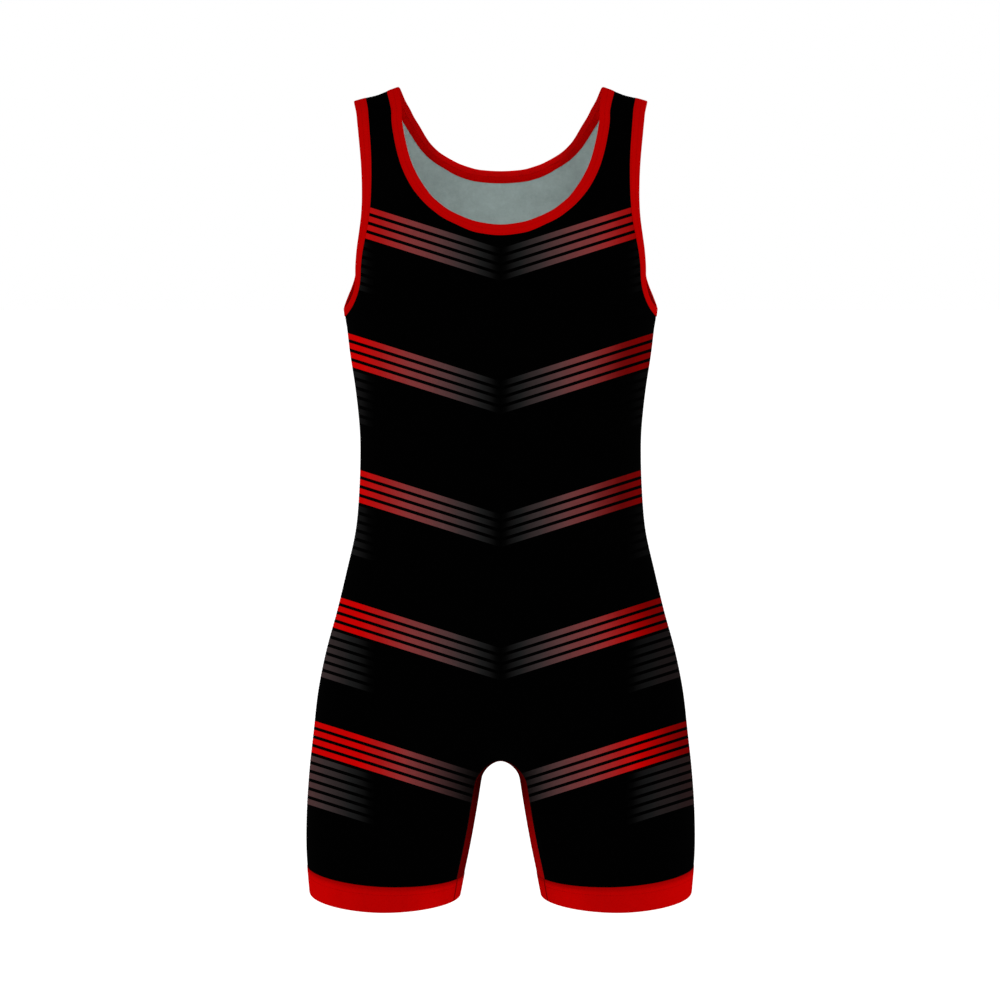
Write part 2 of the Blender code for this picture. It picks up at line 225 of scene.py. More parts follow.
def outside(points):
    """Below zero inside the figure that the cloth is stretched over, zero on it, above zero off it."""
    x, y, z = np.moveaxis(np.asarray(points, float), -1, 0)
    x = np.abs(x)
    sag = STRAP_SAG * np.exp(-(((x - STRAP_MIDDLE_X) / SAG_REACH) ** 2))
    fallen = z + SHOULDER_SLOPE * np.maximum(x - STRAP_START_X, 0) + sag
    depth = np.sqrt(np.maximum(np.where(y < 0, front_squared(fallen), back_squared(fallen)), 1e-6))
    wide, power = half_width(z), squareness(z)
    trunk = ((x / wide) ** power + (np.abs(y) / depth) ** power) ** (1 / power) - 1
    inner = np.hypot(leg_gap(z), CROTCH_SOFTNESS)
    outer = np.hypot(wide, CROTCH_SOFTNESS)
    across = (np.hypot(x, CROTCH_SOFTNESS) - 0.5 * (outer + inner)) / (0.5 * (outer - inner))
    power = leg_squareness(z)
    leg = abs(across) ** power + abs(y / np.where(y < 0, leg_front(z), leg_back(z))) ** power - 1
    t = np.clip((z - LEGS_JOIN) / (BODY_BEGINS - LEGS_JOIN), 0, 1)
    blend = t * t * (6 - 8 * t + 3 * t * t)
    return np.where(fallen >= 0, 1.0 + fallen, (1 - blend) * leg + blend * trunk)


def cast(start, heading, reach=240.0):
    """Where rays first cross the figure's surface."""
    start, heading = np.broadcast_arrays(np.asarray(start, float), np.asarray(heading, float))
    heading = heading / np.linalg.norm(heading, axis=-1, keepdims=True)
    side = outside(start) > 0
    walk = np.linspace(0, reach, 81)
    near, far = np.zeros(side.shape), np.full(side.shape, reach)
    found = np.zeros(side.shape, bool)
    for before, step in zip(walk, walk[1:]):
        passed = ~found & ((outside(start + step * heading) > 0) != side)
        near[passed], far[passed] = before, step
        found |= passed
        if found.all():
            break
    for _ in range(26):
        middle = 0.5 * (near + far)
        same = (outside(start + middle[..., None] * heading) > 0) == side
        near, far = np.where(same, middle, near), np.where(same, far, middle)
    return start + (0.5 * (near + far))[..., None] * heading


def normal(points):
    """The directions straight out of the figure's surface."""
    slope = [outside(points + step) - outside(points - step) for step in 0.05 * np.eye(3)]
    slope = np.stack(slope, axis=-1)
    return slope / np.linalg.norm(slope, axis=-1, keepdims=True)


def lengths(points):
    """How far along a line, or along each of several, its points are."""
    steps = np.linalg.norm(np.diff(points, axis=-2), axis=-1)
    return np.concatenate([np.zeros(steps.shape[:-1] + (1,)), np.cumsum(steps, axis=-1)], axis=-1)


def spline(before, points, after, parts):
    """A Catmull-Rom line through the points, read at these parts of its length. The points before and after
    it bend its ends."""
    points = np.array(points, float)
    padded = np.concatenate([[before], points, [after]])
    t = np.linspace(0, 1, 17)[:-1, None]
    runs = []
    for a, b, c, d in zip(padded, padded[1:], padded[2:], padded[3:]):
        runs.append(b + 0.5 * t * (c - a + t * (2 * a - 5 * b + 4 * c - d + t * (3 * b - a - 3 * c + d))))
    fine = np.concatenate(runs + [points[-1:]])
    along = lengths(fine)
    return np.stack([np.interp(along[-1] * parts, along, fine[:, axis]) for axis in range(3)], axis=1)


def on_body(x, z, way):
    """The point of the front (way -1) or the back (way 1) with this x and z."""
    return cast([x, 0, z], [0, way, 0])


def ridge(x):
    """The top of the shoulder."""
    return cast([x, 0, -60], [0, 0, 1])


def moved(edge, distance, hub, turn):
    """The edge moved over the surface, square to itself. Its two end points stay in their own planes."""
    edge = cast(hub, edge - hub)
    along = np.gradient(edge, axis=0)
    for end, nearby in ((0, 1), (-1, -2)):
        flat = edge[nearby] - edge[end]
        keep = {"x": 0, "y": 1}[turn[end]]
        flat[[axis for axis in range(3) if axis != keep]] = 0
        along[end] = flat if end == 0 else -flat
    sideways = np.cross(normal(edge), along)
    sideways /= np.linalg.norm(sideways, axis=1, keepdims=True)
    if np.sum(sideways * (edge - edge.mean(axis=0))) < 0:
        sideways = -sideways
    target = edge + np.reshape(distance, (-1, 1)) * sideways
    return cast(hub, target - hub)


MIRROR = np.array([-1, 1, 1])
neck_line = [on_body(x, z, -1) for x, z in NECK_FRONT] + [ridge(NECK_SHOULDER_X)]
neck_line += [on_body(x, z, 1) for x, z in NECK_BACK]
arm_line = [ridge(ARM_SHOULDER_X)] + [on_body(x, z, -1) for x, z in ARM_FRONT]
arm_line += [cast([100, y, z], [1, 0, 0]) for y, z in ARMPIT]
arm_line += [on_body(x, z, 1) for x, z in ARM_BACK] + [ridge(ARM_SHOULDER_X)]
NECK_TURN, ARM_TURN = len(NECK_FRONT), len(ARM_FRONT) + 2  # the shoulder and the armpit


def neck_edge(way, parts):
    """The fold of the neck binding from the centre up to the shoulder."""
    if way < 0:
        half = neck_line[: NECK_TURN + 1]
        return spline(neck_line[1] * MIRROR, half, neck_line[NECK_TURN + 1], parts)
    half = neck_line[:NECK_TURN - 1:-1]
    return spline(neck_line[-2] * MIRROR, half, neck_line[NECK_TURN - 1], parts)


def arm_edge(way, parts):
    """The fold of the armhole binding from the armpit up to the shoulder."""
    if way < 0:
        half = arm_line[ARM_TURN::-1]
        return spline(arm_line[ARM_TURN + 1], half, arm_line[-2], parts)
    return spline(arm_line[ARM_TURN - 1], arm_line[ARM_TURN:], arm_line[1], parts)


def neck_width(way, parts):
    """The width of the folded neck binding: narrow in front, full at the shoulder and behind."""
    if way < 0:
        return np.interp(parts, (0.1, 0.18, 0.33, 0.4, 0.8, 0.93), (10.8, 9.7, 9.7, 10.7, 10.7, 12.4))
    return np.interp(parts, (0.2, 0.3, 0.45, 0.6), (13.0, 11.8, 11.6, 12.5))


def arm_width(parts):
    """The width of the folded armhole binding, a little narrower under the arm."""
    places = (0, 0.08, 0.2, 0.3, 0.4, 0.5, 0.75, 1)
    return np.interp(parts, places, (10.2, 9.2, 9.2, 11.0, 12.4, 13, 13.1, 12.6))


def inner_leg(up, y):
    """The inside of a leg at one depth: from 0 at the cuff up to 1, then over the arch to 2 at its middle."""
    z = CUFF_TOP - CUFF_TILT + (ARCH_Z - CUFF_TOP + CUFF_TILT) * np.minimum(up, 1.0)
    turn = 0.5 * math.pi * np.maximum(up - 1.0, 0.0)
    start = np.stack([0 * z, y + 0 * z, z], axis=-1)
    points = cast(start, np.stack([np.cos(turn), 0 * turn, np.sin(turn)], axis=-1))
    points[up >= 2.0, 0] = 0.0
    return points


def gusset_half(up):
    """Half of the inseam gusset's width, narrower under the crotch."""
    over = np.maximum(up - 1.0, 0.0)
    return GUSSET_AT_CUFF - (GUSSET_AT_CUFF - GUSSET_AT_CROTCH) * over * over * (3 - 2 * over)


NEAR_SEAM, EVEN_FROM = np.array([0, 0.5, 1.1, 1.9, 3.0]), 4.6


def spread(length, count):
    """Distances along a row of cells: close together next to the two seams, even between them."""
    middle = np.linspace(EVEN_FROM, length - EVEN_FROM, count - 2 * len(NEAR_SEAM))
    return np.concatenate([NEAR_SEAM, middle, length - NEAR_SEAM[::-1]])


def laid(make, rows, count):
    """Rows of points make(0...1), each row spread between its two seams."""
    fine = np.tile(np.linspace(0, 1, 61), (rows, 1))
    along = lengths(make(fine))
    return make(np.stack([np.interp(spread(row[-1], count), row, t) for row, t in zip(along, fine)]))


# How far up a leg each row of cells is: 0 at the cuff, 1 where the arch begins, 2 at its middle
UP_LEG = np.concatenate([[-0.027, -0.014, 0.0, 0.012], np.linspace(0.04, 2, 38)])
ARCH_SIDE_Z, LEVEL_FROM = -662.0, -620.0  # the side seam beside the arch's middle, and the lowest level row
CROTCH_HUB_X = 65.0
SHOULDER_HUB_Z = -70.0


def panel(way, chest_part, columns=46):
    """Half of a body panel from the cuff to the shoulder seam, in front (way -1) or behind (way 1), and the
    number of its rows up to the armpit. The part of the armhole's edge beside the chest has its own rows."""
    side = way * 0.5 * SEAM
    up_neck = np.concatenate([np.linspace(0, 0.97, 44), [0.979, 0.987, 0.993, 0.997, 1]])
    up_chest = np.linspace(0, chest_part, 15)
    neck = moved(neck_edge(way, up_neck), neck_width(way, up_neck) - TUCKED, NECK_HUB, "xy")
    up_arm = np.concatenate([up_chest[:-1], chest_part + (1 - chest_part) * up_neck])
    arm = moved(arm_edge(way, up_arm), arm_width(up_arm) - TUCKED, ARM_HUB, "yy")
    neck[-1] = cast([neck[-1][0], side, SHOULDER_HUB_Z], [0, 0, 1])
    arm[-1] = cast([arm[-1][0], side, SHOULDER_HUB_Z], [0, 0, 1])
    arm[0] = cast([100.0, side, arm[0][2]], [1, 0, 0])
    neck[0][0] = 0.0

    # Rows round the figure, each turning about an upright line: the legs, the crotch and the trunk
    over = np.maximum(UP_LEG - 1.0, 0.0)
    inner = inner_leg(UP_LEG, way * (gusset_half(UP_LEG) + 0.5 * SEAM))
    beside_leg = inner[:, 2] + 2 * CUFF_TILT * (1 - UP_LEG)
    outer_z = np.where(UP_LEG <= 1, beside_leg, ARCH_Z + over * (ARCH_SIDE_Z - ARCH_Z))
    hub = 0.5 * (leg_gap(inner[:, 2]) + half_width(inner[:, 2])) * (1 - 0.45 * over)
    dip = math.atan2(LEVEL_FROM - inner[-1][2], abs(inner[-1][1]))
    rise = np.linspace(0, 1, 11)[1:]
    turn = dip * (1 - rise)
    crotch = cast([0, 0, LEVEL_FROM], np.stack([0 * turn, way * np.cos(turn), -np.sin(turn)], axis=-1))
    climb = np.linspace(0, 1, 61)[1:]
    trunk_z = LEVEL_FROM + (arm[0][2] - LEVEL_FROM) * climb
    trunk = cast(np.stack([0 * climb, 0 * climb, trunk_z], axis=-1), [0, way, 0])
    inner = np.concatenate([inner, crotch, trunk])
    outer_z = np.concatenate([outer_z, ARCH_SIDE_Z + (LEVEL_FROM - ARCH_SIDE_Z) * rise, trunk_z])
    hub = np.concatenate([hub, CROTCH_HUB_X * (1 - rise), 0 * climb])
    outer = cast(np.stack([0 * outer_z + 100.0, 0 * outer_z + side, outer_z], axis=-1), [1, 0, 0])
    first = np.arctan2(inner[:, 1], inner[:, 0] - hub)
    last = np.arctan2(outer[:, 1], outer[:, 0] - hub)
    first = np.where(abs(last - first) > math.pi, first - np.copysign(2 * math.pi, first - last), first)

    def round_rows(t):
        angle = first[:, None] + (last - first)[:, None] * t
        z = inner[:, None, 2] + (outer - inner)[:, None, 2] * t * t * (3 - 2 * t)
        start = np.stack([hub[:, None] + 0 * t, 0 * t, z], axis=-1)
        return cast(start, np.stack([np.cos(angle), np.sin(angle), 0 * t], axis=-1))

    lower = laid(round_rows, len(inner), columns)
    lower[:, 0], lower[:, -1] = inner, outer
    lower[-1, -1] = arm[0]

    # Rows between the centre or the neck and the armhole
    chest_z = np.linspace(lower[-1, 0, 2], neck[0][2], 15)[1:-1]
    chest = cast(np.stack([0 * chest_z, 0 * chest_z, chest_z], axis=-1), [0, way, 0])
    inner, outer = np.concatenate([chest, neck]), arm[1:]
    low = np.minimum(0.5 * (inner[:, 2] + outer[:, 2]), SHOULDER_HUB_Z)
    level = np.where(abs(inner[:, 1]) < 1, inner[:, 1], 0.0)
    hub = np.stack([0.5 * (inner[:, 0] + outer[:, 0]), level, low], axis=-1)[:, None]

    def strap_rows(t):
        return cast(hub, inner[:, None] + (outer - inner)[:, None] * t[..., None] - hub)

    upper = laid(strap_rows, len(inner), columns)
    upper[:, 0], upper[:, -1] = inner, outer
    return np.concatenate([lower, upper]), len(lower)


def roll(distance):
    """How far the cloth turns in at this distance from a sewn edge."""
    return ROLL_DEPTH * np.exp(-((distance / ROLL_REACH) ** 2))


def rolled(grid, body):
    """The panel with its sewn edges turned in a little: along the gusset, the side seam and the shoulder."""
    row = np.arange(len(grid))[:, None]
    across = lengths(grid)
    down = lengths(grid.transpose(1, 0, 2)).T
    inner_seam = roll(across) * (row < len(UP_LEG))
    side_seam = roll(across[:, -1:] - across) * (row < body)
    shoulder = roll(down[-1:] - down)
    return grid - np.maximum(np.maximum(inner_seam, side_seam), shoulder)[..., None] * normal(grid)


ARTWORK_TOP, ARTWORK_WIDTH = 418.9, 200.0
CHEVRON_SLOPE = 0.317
CHEVRON_SIDE = 121.7  # off the centre line, where the tops below are measured
CHEVRON_TOPS = (125.0, 259.5, 394.6, 530.3, 663.8)  # of the five bands of stripes


def artwork(points):
    """Where the cloth lies under the flat artwork, in mm off its centre line and below the shoulders.

    The artwork is laid on from the front, a little from above. The back takes the same one, turned over."""
    x, y, z = np.moveaxis(points, -1, 0)
    reach = VIEW_DISTANCE - abs(y)
    depth = reach * math.cos(VIEW_TILT) - (z - VIEW_HEIGHT) * math.sin(VIEW_TILT)
    height = reach * math.sin(VIEW_TILT) + (z - VIEW_HEIGHT) * math.cos(VIEW_TILT)
    return VIEW_DISTANCE * abs(x) / depth, ARTWORK_TOP - VIEW_DISTANCE * height / depth


def chevron_map(points):
    """Across the artwork from 0 to 1, and down it with a whole number at the top of each band of stripes."""
    across, drop = artwork(points)
    level = drop + CHEVRON_SLOPE * (across - CHEVRON_SIDE)
    tops = np.array(CHEVRON_TOPS)
    tops = np.concatenate([[2 * tops[0] - tops[1]], tops, [2 * tops[-1] - tops[-2]]])
    return np.stack([across / ARTWORK_WIDTH, np.interp(level, tops, np.arange(-1.0, 6.0))], axis=-1)


def knit_map(grid):
    """The cloth's own place in metres: wales run up the rows of cells, courses run across them."""
    across = lengths(grid)
    up = lengths(grid.transpose(1, 0, 2)).T.mean(axis=1)
    return np.stack([across[:, -1:] - across, np.tile(up[:, None], (1, grid.shape[1]))], axis=-1) / 1000


def cloth(name, grid, maps, materials, closed=(False, False), turned=False):
    """A mesh on a grid of points in mm. A map of a closed way has one more row or column than the grid."""
    rows, columns = grid.shape[:2]
    row = np.arange(rows if closed[0] else rows - 1)[:, None]
    column = np.arange(columns if closed[1] else columns - 1)[None, :]
    corners = [(row + 0 * column, column + 0 * row), (row + 0 * column, column + 1 + 0 * row)]
    corners += [(row + 1 + 0 * column, column + 1 + 0 * row), (row + 1 + 0 * column, column + 0 * row)]
    if turned:
        corners = corners[::-1]
    faces = np.stack([(r % rows) * columns + c % columns for r, c in corners], axis=-1).reshape(-1, 4)
    mesh = bpy.data.meshes.new(name)
    mesh.from_pydata((grid.reshape(-1, 3) / 1000).tolist(), [], faces.tolist())
    for title, places in maps.items():
        layer = mesh.uv_layers.new(name=title)
        layer.data.foreach_set("uv", np.stack([places[r, c] for r, c in corners], axis=2).ravel())
    mesh.shade_smooth()
    for material in materials:
        mesh.materials.append(material)
    piece = bpy.data.objects.new(name, mesh)
    bpy.context.scene.collection.objects.link(piece)
    return piece


def walled(piece):
    """Gives a half panel its other half and the cloth its thickness, with the unprinted side inside."""
    mirror = piece.modifiers.new("other half", "MIRROR")
    mirror.merge_threshold = 0.00005
    wall = piece.modifiers.new("cloth", "SOLIDIFY")
    wall.thickness = THICKNESS / 1000
    wall.offset = 2 * FACE / THICKNESS - 1
    wall.material_offset = wall.material_offset_rim = 1


RED_TINT = (1.0, 0.03, 0.03, 1.0)  # what little the red cloth reflects is red too


def dye(red, green, blue):
    """A colour from its values on a colour card, 0 to 255."""
    linear = [c / 255 / 12.92 if c <= 10 else ((c / 255 + 0.055) / 1.055) ** 2.4 for c in (red, green, blue)]
    return (*linear, 1.0)


def reckon(tree, operation, *values):
    """One sum in a material: each value is a number or another node's output."""
    node = tree.nodes.new("ShaderNodeMath")
    node.operation = operation
    for socket, value in zip(node.inputs, values):
        if isinstance(value, (int, float)):
            socket.default_value = value
        else:
            tree.links.new(value, socket)
    return node.outputs[0]


def parted(tree, place):
    """The X, Y and Z of a place in a material."""
    node = tree.nodes.new("ShaderNodeSeparateXYZ")
    tree.links.new(place, node.inputs[0])
    return node.outputs


def on_map(tree, title):
    """The place on one of the mesh's own maps."""
    node = tree.nodes.new("ShaderNodeUVMap")
    node.uv_map = title
    return node.outputs[0]


def on_garment(tree):
    """The place on the whole garment, in metres."""
    return tree.nodes.new("ShaderNodeTexCoord").outputs["Object"]


def new_group(name, inputs, outputs):
    """An empty node group, with the sockets of what it is given and of what it puts out."""
    group = bpy.data.node_groups.new(name, "ShaderNodeTree")
    for title, kind in inputs:
        group.interface.new_socket(title, in_out="INPUT", socket_type="NodeSocket" + kind)
    for title, kind in outputs:
        group.interface.new_socket(title, in_out="OUTPUT", socket_type="NodeSocket" + kind)
    return group, group.nodes.new("NodeGroupInput").outputs, group.nodes.new("NodeGroupOutput").inputs


# Knitted loops: columns of small Vs, and a slow unevenness of the yarn
knit, given, result = new_group(
    "knitted loops",
    (("Place", "Vector"), ("Wale", "Float"), ("Course", "Float"), ("Unevenness", "Float")),
    (("Height", "Float"), ("Tone", "Float")),
)
place = parted(knit, given["Place"])
wale = reckon(knit, "FRACT", reckon(knit, "DIVIDE", place["X"], given["Wale"]))
off_wale = reckon(knit, "MULTIPLY", reckon(knit, "ABSOLUTE", reckon(knit, "SUBTRACT", wale, 0.5)), 2.0)
course = reckon(knit, "DIVIDE", place["Y"], given["Course"])
leg_of_loop = reckon(knit, "FRACT", reckon(knit, "ADD", course, reckon(knit, "MULTIPLY", off_wale, 0.6)))
loop = reckon(knit, "SINE", reckon(knit, "MULTIPLY", leg_of_loop, math.pi))
hollow = reckon(knit, "SUBTRACT", 1.0, reckon(knit, "POWER", off_wale, 3.0))
rounded = reckon(knit, "ADD", reckon(knit, "MULTIPLY", loop, 0.6), 0.4)
knit.links.new(reckon(knit, "MULTIPLY", hollow, rounded), result["Height"])
yarn = knit.nodes.new("ShaderNodeTexNoise")
yarn.inputs["Scale"].default_value, yarn.inputs["Detail"].default_value = 60.0, 5.0
yarn.inputs["Roughness"].default_value = 0.85
knit.links.new(on_garment(knit), yarn.inputs["Vector"])
swing = reckon(knit, "MULTIPLY", reckon(knit, "SUBTRACT", yarn.outputs["Fac"], 0.5), given["Unevenness"])
knit.links.new(reckon(knit, "ADD", 1.0, swing), result["Tone"])


def knit_material(name, wale, course, relief, unevenness, roughness, sheen, gloss, tint=(1.0, 1.0, 1.0, 1.0)):
    """A knitted cloth without its colour, with its loops' sizes in mm. Returns the material, its node tree,
    its shader, and its tone, which is about 1."""
    material = bpy.data.materials.new(name)
    material.use_nodes = True
    tree = material.node_tree
    shader = tree.nodes["Principled BSDF"]
    shader.inputs["Specular IOR Level"].default_value = gloss
    shader.inputs["Sheen Weight"].default_value = sheen
    shader.inputs["Sheen Roughness"].default_value = 0.35
    shader.inputs["Sheen Tint"].default_value = shader.inputs["Specular Tint"].default_value = tint
    loops = tree.nodes.new("ShaderNodeGroup")
    loops.node_tree = knit
    tree.links.new(on_map(tree, "knit"), loops.inputs["Place"])
    loops.inputs["Wale"].default_value, loops.inputs["Course"].default_value = wale / 1000, course / 1000
    loops.inputs["Unevenness"].default_value = unevenness
    tone = loops.outputs["Tone"]
    tree.links.new(reckon(tree, "MULTIPLY", tone, roughness), shader.inputs["Roughness"])
    bump = tree.nodes.new("ShaderNodeBump")
    bump.inputs["Distance"].default_value = relief / 1000
    tree.links.new(loops.outputs["Height"], bump.inputs["Height"])
    tree.links.new(bump.outputs[0], shader.inputs["Normal"])
    return material, tree, shader, tone


def toned(tree, colour, tone):
    """A colour times the tone."""
    mix = tree.nodes.new("ShaderNodeMix")
    mix.data_type, mix.blend_type = "RGBA", "MULTIPLY"
    mix.inputs["Factor"].default_value = 1.0
    if isinstance(colour, tuple):
        mix.inputs[6].default_value = colour
    else:
        tree.links.new(colour, mix.inputs[6])
    tree.links.new(tone, mix.inputs[7])
    return mix.outputs[2]


# The print: five bands of stripes that point down at the centre, each of four bright stripes and six that
# only show far out. They go from black at the centre through a brownish grey to red. Over the print,
# painted shade darkens the stripes towards the side on the wearer's left.
STRIPE_PITCH, BAND_PITCH = 9.08, 134.7
STRIPE_MIDDLE, STRIPE_PART = 0.3525, 0.63  # of a stripe's pitch
BRIGHT_STRIPES, ALL_STRIPES, BANDS = 3.95, 9.95, 5.0
FAINT_FROM, FAINT_RATE = 0.637, 0.8  # the faint stripes begin here across the artwork, and brighten slower
INK_STRENGTH = 0.82
# Painted shade on the wearer's left: the most it darkens the stripes, and over what part of the artwork's
# width
SHADE_DEPTH, SHADE_REACH = 0.7, 0.31
BLACK = (0.0003, 0.0003, 0.0003, 1.0)
# Along a stripe: mm off the centre line, its red, and its green and blue, which are alike
FADE = (
    (0, 0, 0),
    (5, 3, 3),
    (20, 26, 26),
    (40, 54, 44),
    (60, 84, 53),
    (90, 120, 50),
    (120, 161, 21),
    (140, 192, 1),
)
FADE_SPREAD = 1.0145
# Where the painted shade on the wearer's left begins: part of the way down the five bands, and mm off the
# centre
SHADE_FROM = ((0.0, 101), (0.3, 68), (0.5, 64), (0.7, 116), (0.9, 130))
# Across the artwork, the lowest band's stripes are gone at the first and full at the others, on each side
LOWEST_FADE_FROM, LOWEST_FULL_RIGHT, LOWEST_FULL_LEFT = 0.04, 0.49, 0.22

chevrons, given, result = new_group(
    "chevron print with painted shade",
    (("Artwork", "Vector"), ("Wearer's left", "Float")),
    (("Colour", "Color"), ("Ink", "Float")),
)
place = parted(chevrons, given["Artwork"])
across, which_band = place["X"], place["Y"]
stripe = reckon(chevrons, "MULTIPLY", reckon(chevrons, "FRACT", which_band), BAND_PITCH / STRIPE_PITCH)
in_stripe = reckon(chevrons, "COMPARE", reckon(chevrons, "FRACT", stripe), STRIPE_MIDDLE, 0.5 * STRIPE_PART)
in_band = reckon(chevrons, "LESS_THAN", stripe, ALL_STRIPES)
in_band = reckon(chevrons, "MULTIPLY", in_band, reckon(chevrons, "LESS_THAN", which_band, BANDS))
in_band = reckon(chevrons, "MULTIPLY", in_band, reckon(chevrons, "GREATER_THAN", which_band, 0.0))
faint = reckon(chevrons, "GREATER_THAN", stripe, BRIGHT_STRIPES)
far_out = reckon(chevrons, "MULTIPLY", reckon(chevrons, "SUBTRACT", across, FAINT_FROM), FAINT_RATE)
shown_at = chevrons.nodes.new("ShaderNodeMix")
chevrons.links.new(faint, shown_at.inputs["Factor"])
chevrons.links.new(across, shown_at.inputs["A"])
chevrons.links.new(far_out, shown_at.inputs["B"])


def ramp(tree, value, stops, way="LINEAR"):
    """The colour that goes with a value, from stops of a place and a colour."""
    node = tree.nodes.new("ShaderNodeValToRGB")
    node.color_ramp.interpolation = way
    tree.links.new(value, node.inputs["Fac"])
    while len(node.color_ramp.elements) < len(stops):
        node.color_ramp.elements.new(1.0)
    for stop, (at, colour) in zip(node.color_ramp.elements, stops):
        stop.position, stop.color = at, colour
    return node.outputs["Color"]


def eased(tree, value, start, end, way="SMOOTHSTEP"):
    """0 before the start, 1 after the end."""
    node = tree.nodes.new("ShaderNodeMapRange")
    node.interpolation_type = way
    for title, number in (("Value", value), ("From Min", start), ("From Max", end)):
        if isinstance(number, (int, float)):
            node.inputs[title].default_value = number
        else:
            tree.links.new(number, node.inputs[title])
    return node.outputs[0]


fade_stops = [(at * FADE_SPREAD / ARTWORK_WIDTH, dye(red, other, other)) for at, red, other in FADE]
fade = ramp(chevrons, shown_at.outputs[0], fade_stops)
dark_stops = [(at, (start / ARTWORK_WIDTH,) * 3 + (1.0,)) for at, start in SHADE_FROM]
dark_from = ramp(chevrons, reckon(chevrons, "MULTIPLY", which_band, 1 / BANDS), dark_stops, "EASE")
darker = eased(chevrons, across, dark_from, reckon(chevrons, "ADD", dark_from, SHADE_REACH))
darker = reckon(chevrons, "MULTIPLY", reckon(chevrons, "MULTIPLY", darker, SHADE_DEPTH), given["Wearer's left"])
lowest = reckon(chevrons, "GREATER_THAN", which_band, BANDS - 1)
sooner = reckon(chevrons, "MULTIPLY", given["Wearer's left"], LOWEST_FULL_RIGHT - LOWEST_FULL_LEFT)
full_from = reckon(chevrons, "SUBTRACT", LOWEST_FULL_RIGHT, sooner)
inner_fade = eased(chevrons, across, LOWEST_FADE_FROM, full_from, "LINEAR")
inner_fade = reckon(chevrons, "MULTIPLY", lowest, reckon(chevrons, "SUBTRACT", 1.0, inner_fade))
strength = reckon(chevrons, "SUBTRACT", INK_STRENGTH, reckon(chevrons, "MULTIPLY", darker, INK_STRENGTH))
strength = reckon(chevrons, "MULTIPLY", strength, reckon(chevrons, "SUBTRACT", 1.0, inner_fade))
chevrons.links.new(toned(chevrons, fade, strength), result["Colour"])
chevrons.links.new(reckon(chevrons, "MULTIPLY", in_stripe, in_band), result["Ink"])

WALE, COURSE = 0.9, 0.7  # the spacing of the panels' loops, across and up
printed_knit, tree, shader, tone = knit_material(
    "printed knit", WALE, COURSE, relief=0.09, unevenness=0.5, roughness=0.9, sheen=0.002, gloss=0.0
)
printing = tree.nodes.new("ShaderNodeGroup")
printing.node_tree = chevrons
tree.links.new(on_map(tree, "artwork"), printing.inputs["Artwork"])
# The painted shade of the print falls on the wearer's left, +X
wearers_left = reckon(tree, "GREATER_THAN", parted(tree, on_garment(tree))["X"], 0.0)
tree.links.new(wearers_left, printing.inputs["Wearer's left"])
inked = tree.nodes.new("ShaderNodeMix")
inked.data_type, inked.blend_type = "RGBA", "ADD"
inked.inputs[6].default_value = BLACK
tree.links.new(printing.outputs["Ink"], inked.inputs["Factor"])
tree.links.new(printing.outputs["Colour"], inked.inputs[7])
tree.links.new(toned(tree, inked.outputs[2], tone), shader.inputs["Base Color"])

# Inside, the bare yarn is a greenish grey, with painted shade darkening it towards the sides
GREENISH_GREY = (0.375, 0.465, 0.45, 1.0)
knit_reverse, tree, shader, tone = knit_material(
    "knit reverse", WALE, COURSE, relief=0.14, unevenness=0.7, roughness=0.8, sheen=0.03, gloss=0.05
)
inner_side_shade = eased(tree, reckon(tree, "ABSOLUTE", parted(tree, on_garment(tree))["X"]), 0.02, 0.1)
tone = reckon(tree, "MULTIPLY", tone, reckon(tree, "SUBTRACT", 1.0, reckon(tree, "MULTIPLY", inner_side_shade, 0.24)))
tree.links.new(toned(tree, GREENISH_GREY, tone), shader.inputs["Base Color"])


def printed_panel(name, way, chest_part):
    """A whole body panel, with the grid of its left half and the number of rows up to the armpit."""
    grid, body = panel(way, chest_part)
    grid = rolled(grid, body)
    maps = {"knit": knit_map(grid), "artwork": chevron_map(grid)}
    piece = cloth(name, grid, maps, (printed_knit, knit_reverse), turned=way > 0)
    walled(piece)
    return piece, grid, body


front_panel, front, body_rows = printed_panel("printed_front_panel", way=-1, chest_part=0.25)
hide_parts("front_panel")
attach(front_panel, "root")

# ---- Back panel ----
# The back of the body and of both legs in one piece of the same printed knit, lower at the nape than at the
# shoulders. It is sewn edge to edge with the front down the sides and over the shoulders.

back_panel, back, body_rows = printed_panel("printed_back_panel", way=1, chest_part=0.375)
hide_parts("back_panel")
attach(back_panel, "root")

# ---- Inseam gusset ----
# A red strip of plain knit that runs up one inner thigh, under the crotch and down the other. It is
# sewn edge to edge between the two panels.

GUSSET_RED = (0.34, 0.0005, 0.0008, 1.0)
gusset_knit, tree, shader, tone = knit_material(
    "gusset knit", WALE, COURSE, relief=0.1, unevenness=0.3, roughness=0.85, sheen=0.01, gloss=0.0,
    tint=RED_TINT,
)
# Painted shade: darkest high between the legs under the crotch, lighter towards the cuffs, and darker on the
# wearer's right than on the wearer's left
place = parted(tree, on_garment(tree))
leftness = reckon(tree, "ADD", 0.35, reckon(tree, "MULTIPLY", eased(tree, place["X"], -0.02, 0.02), 0.65))
lowness = reckon(tree, "ADD", 0.2, reckon(tree, "MULTIPLY", eased(tree, place["Z"], -0.69, -0.765), 0.65))
strength = reckon(tree, "MULTIPLY", leftness, lowness)
tree.links.new(toned(tree, GUSSET_RED, reckon(tree, "MULTIPLY", strength, tone)), shader.inputs["Base Color"])

